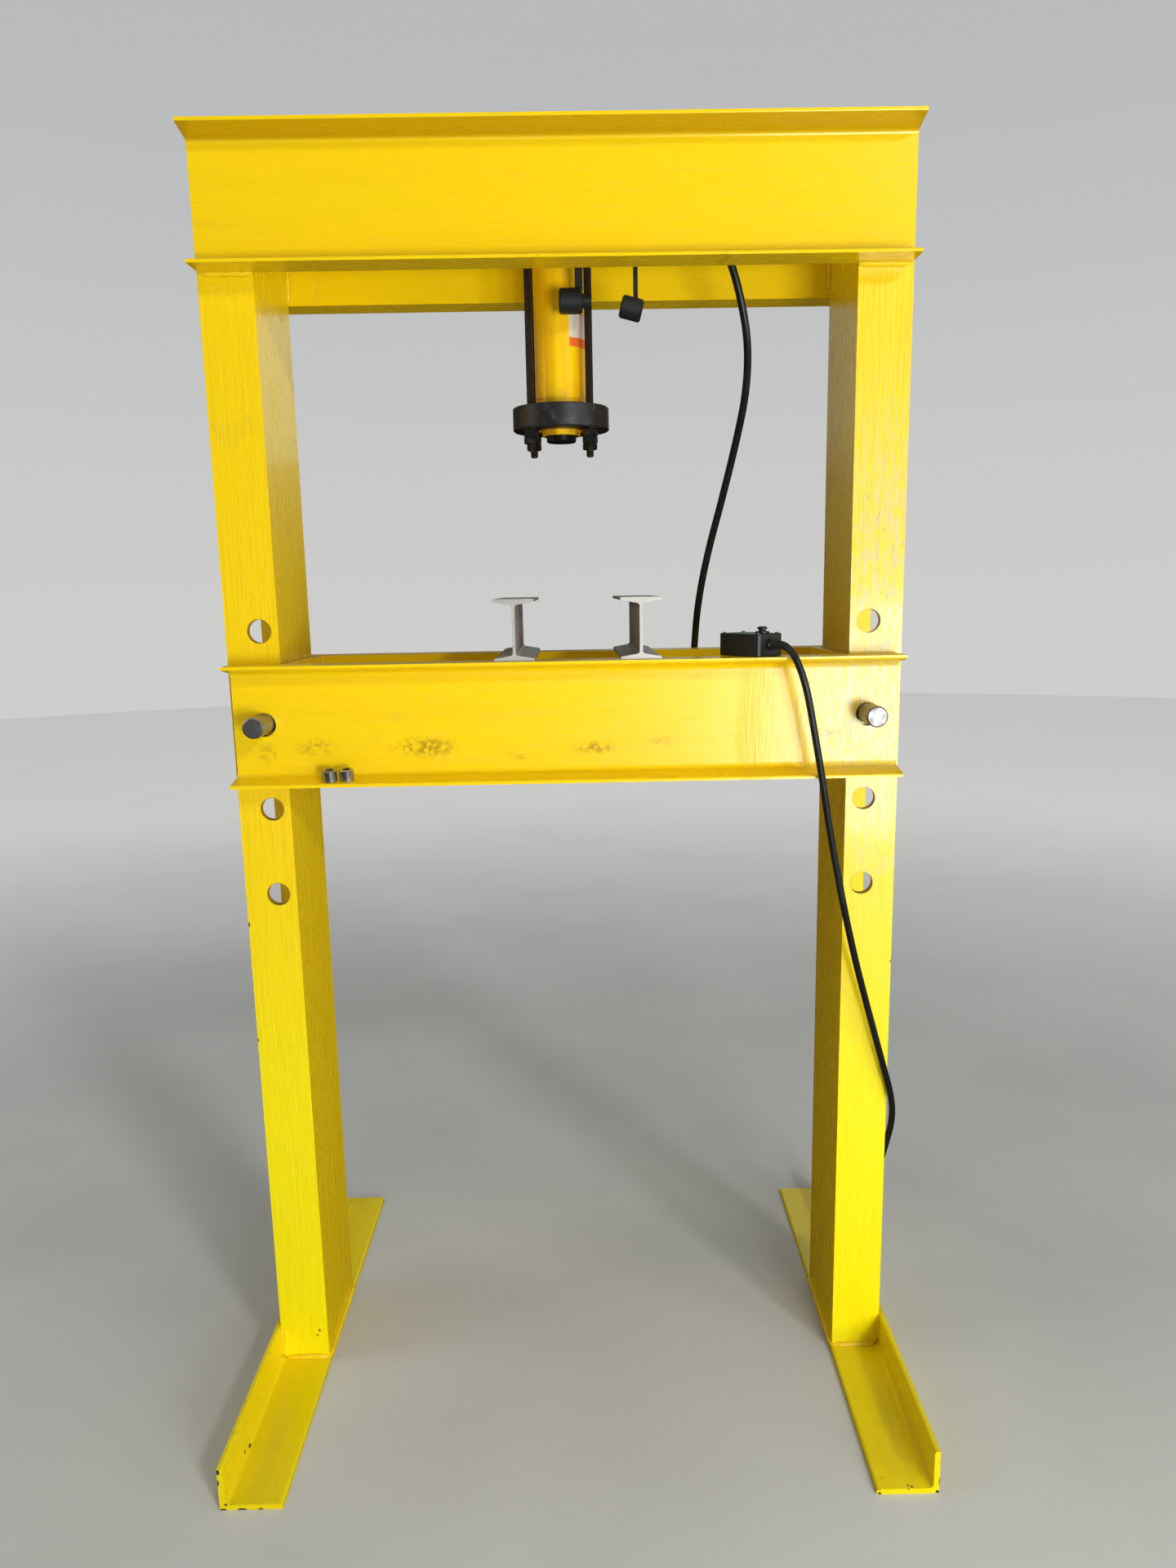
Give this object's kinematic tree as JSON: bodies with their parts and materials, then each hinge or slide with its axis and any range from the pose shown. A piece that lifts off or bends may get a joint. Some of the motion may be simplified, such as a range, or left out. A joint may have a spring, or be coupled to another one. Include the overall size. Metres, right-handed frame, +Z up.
{
  "type": "hydraulic H-frame shop press",
  "caption": "Floor-standing H-frame press of yellow rolled channels, with a pinned bed, a hydraulic cylinder hung in the crown, a hose and a push-button pendant.",
  "frame": {"origin": "centre of the floor between the two feet", "axes": "+X to the right as seen from the front, +Y to the rear, +Z up"},
  "size_m": [1.1714, 0.9652, 2.1495],
  "materials": {
    "yellow_paint": "glossy brushed-on safety yellow, chipped at the foot ends",
    "cylinder_paint": "glossy orange yellow with smudges",
    "bare_steel": "bare, handled steel",
    "dark_steel": "blackened, satin, oily",
    "plated_steel": "plated, satin",
    "ram_chrome": "ground and hard chromed",
    "seal_rubber": "moulded matt black",
    "hose_rubber": "semi-gloss black",
    "bronze": "machined",
    "black_plastic": "moulded, slightly glossy",
    "button_rubber": "moulded"
  },
  "bodies": {
    "frame": {"foot_right": "yellow_paint", "foot_left": "yellow_paint", "post_right": "yellow_paint", "post_left": "yellow_paint", "crown_front": "yellow_paint", "crown_rear": "yellow_paint", "crown_bearing_plate": "yellow_paint", "bolster_front": "yellow_paint", "bolster_rear": "yellow_paint", "bolster_spacer_right": "yellow_paint", "bolster_spacer_left": "yellow_paint", "steel_bushings": "bare_steel", "cylinder_body": "cylinder_paint", "ring_plate": "dark_steel", "stop_ring": "cylinder_paint", "rod_wiper": "seal_rubber", "return_spring": "bare_steel", "port_elbow": "dark_steel", "coupler_ram_half": "plated_steel", "coupler_hose_half": "plated_steel", "hose_fitting_upper": "plated_steel", "hose_fitting_lower": "plated_steel", "hose_end_coupler": "plated_steel", "dust_cap_ram_half": "seal_rubber", "dust_cap_hose_half": "seal_rubber", "hydraulic_hose": "hose_rubber", "pendant_cord": "hose_rubber", "pendant_cord_coil": "hose_rubber", "pendant_cord_tail": "hose_rubber", "connector_plug": "black_plastic", "press_block_left": "bare_steel", "press_block_right": "bare_steel", "tie_rods": "dark_steel", "tie_rod_upper_washers": "dark_steel", "tie_rod_upper_nuts": "dark_steel", "tie_rod_lower_washers": "dark_steel", "tie_rod_lower_nuts": "dark_steel", "tie_rod_lock_nuts": "dark_steel", "pendant_case": "black_plastic", "pendant_cover": "black_plastic", "pendant_screws": "bare_steel", "button_bezel": "black_plastic", "switch_block": "black_plastic", "button_spring": "bare_steel", "cord_gland": "black_plastic"},
    "ram": {"plunger": "ram_chrome", "piston_seal": "seal_rubber", "bearing_band": "bronze", "saddle": "dark_steel"},
    "pin_left": {"bed_pin_left": "bare_steel"},
    "pin_right": {"bed_pin_right": "bare_steel"},
    "button": {"pendant_button": "button_rubber"}
  },
  "joints": [
    {"name": "ram_slide", "type": "slide", "parent": "frame", "child": "ram", "axis": [0, 0, -1], "range_m": [0, 0.26], "stiffness_N_per_m": 900, "springref_m": -0.12, "deforming": ["return_spring"]},
    {"name": "pin_left_slide", "type": "slide", "parent": "frame", "child": "pin_left", "axis": [0, -1, 0], "range_m": [0, 0.36]},
    {"name": "pin_right_slide", "type": "slide", "parent": "frame", "child": "pin_right", "axis": [0, -1, 0], "range_m": [0, 0.36]},
    {"name": "button_press", "type": "slide", "parent": "frame", "child": "button", "axis": [0, 0, -1], "range_m": [0, 0.003], "stiffness_N_per_m": 800, "springref_m": -0.002, "deforming": ["button_spring"]}
  ]
}
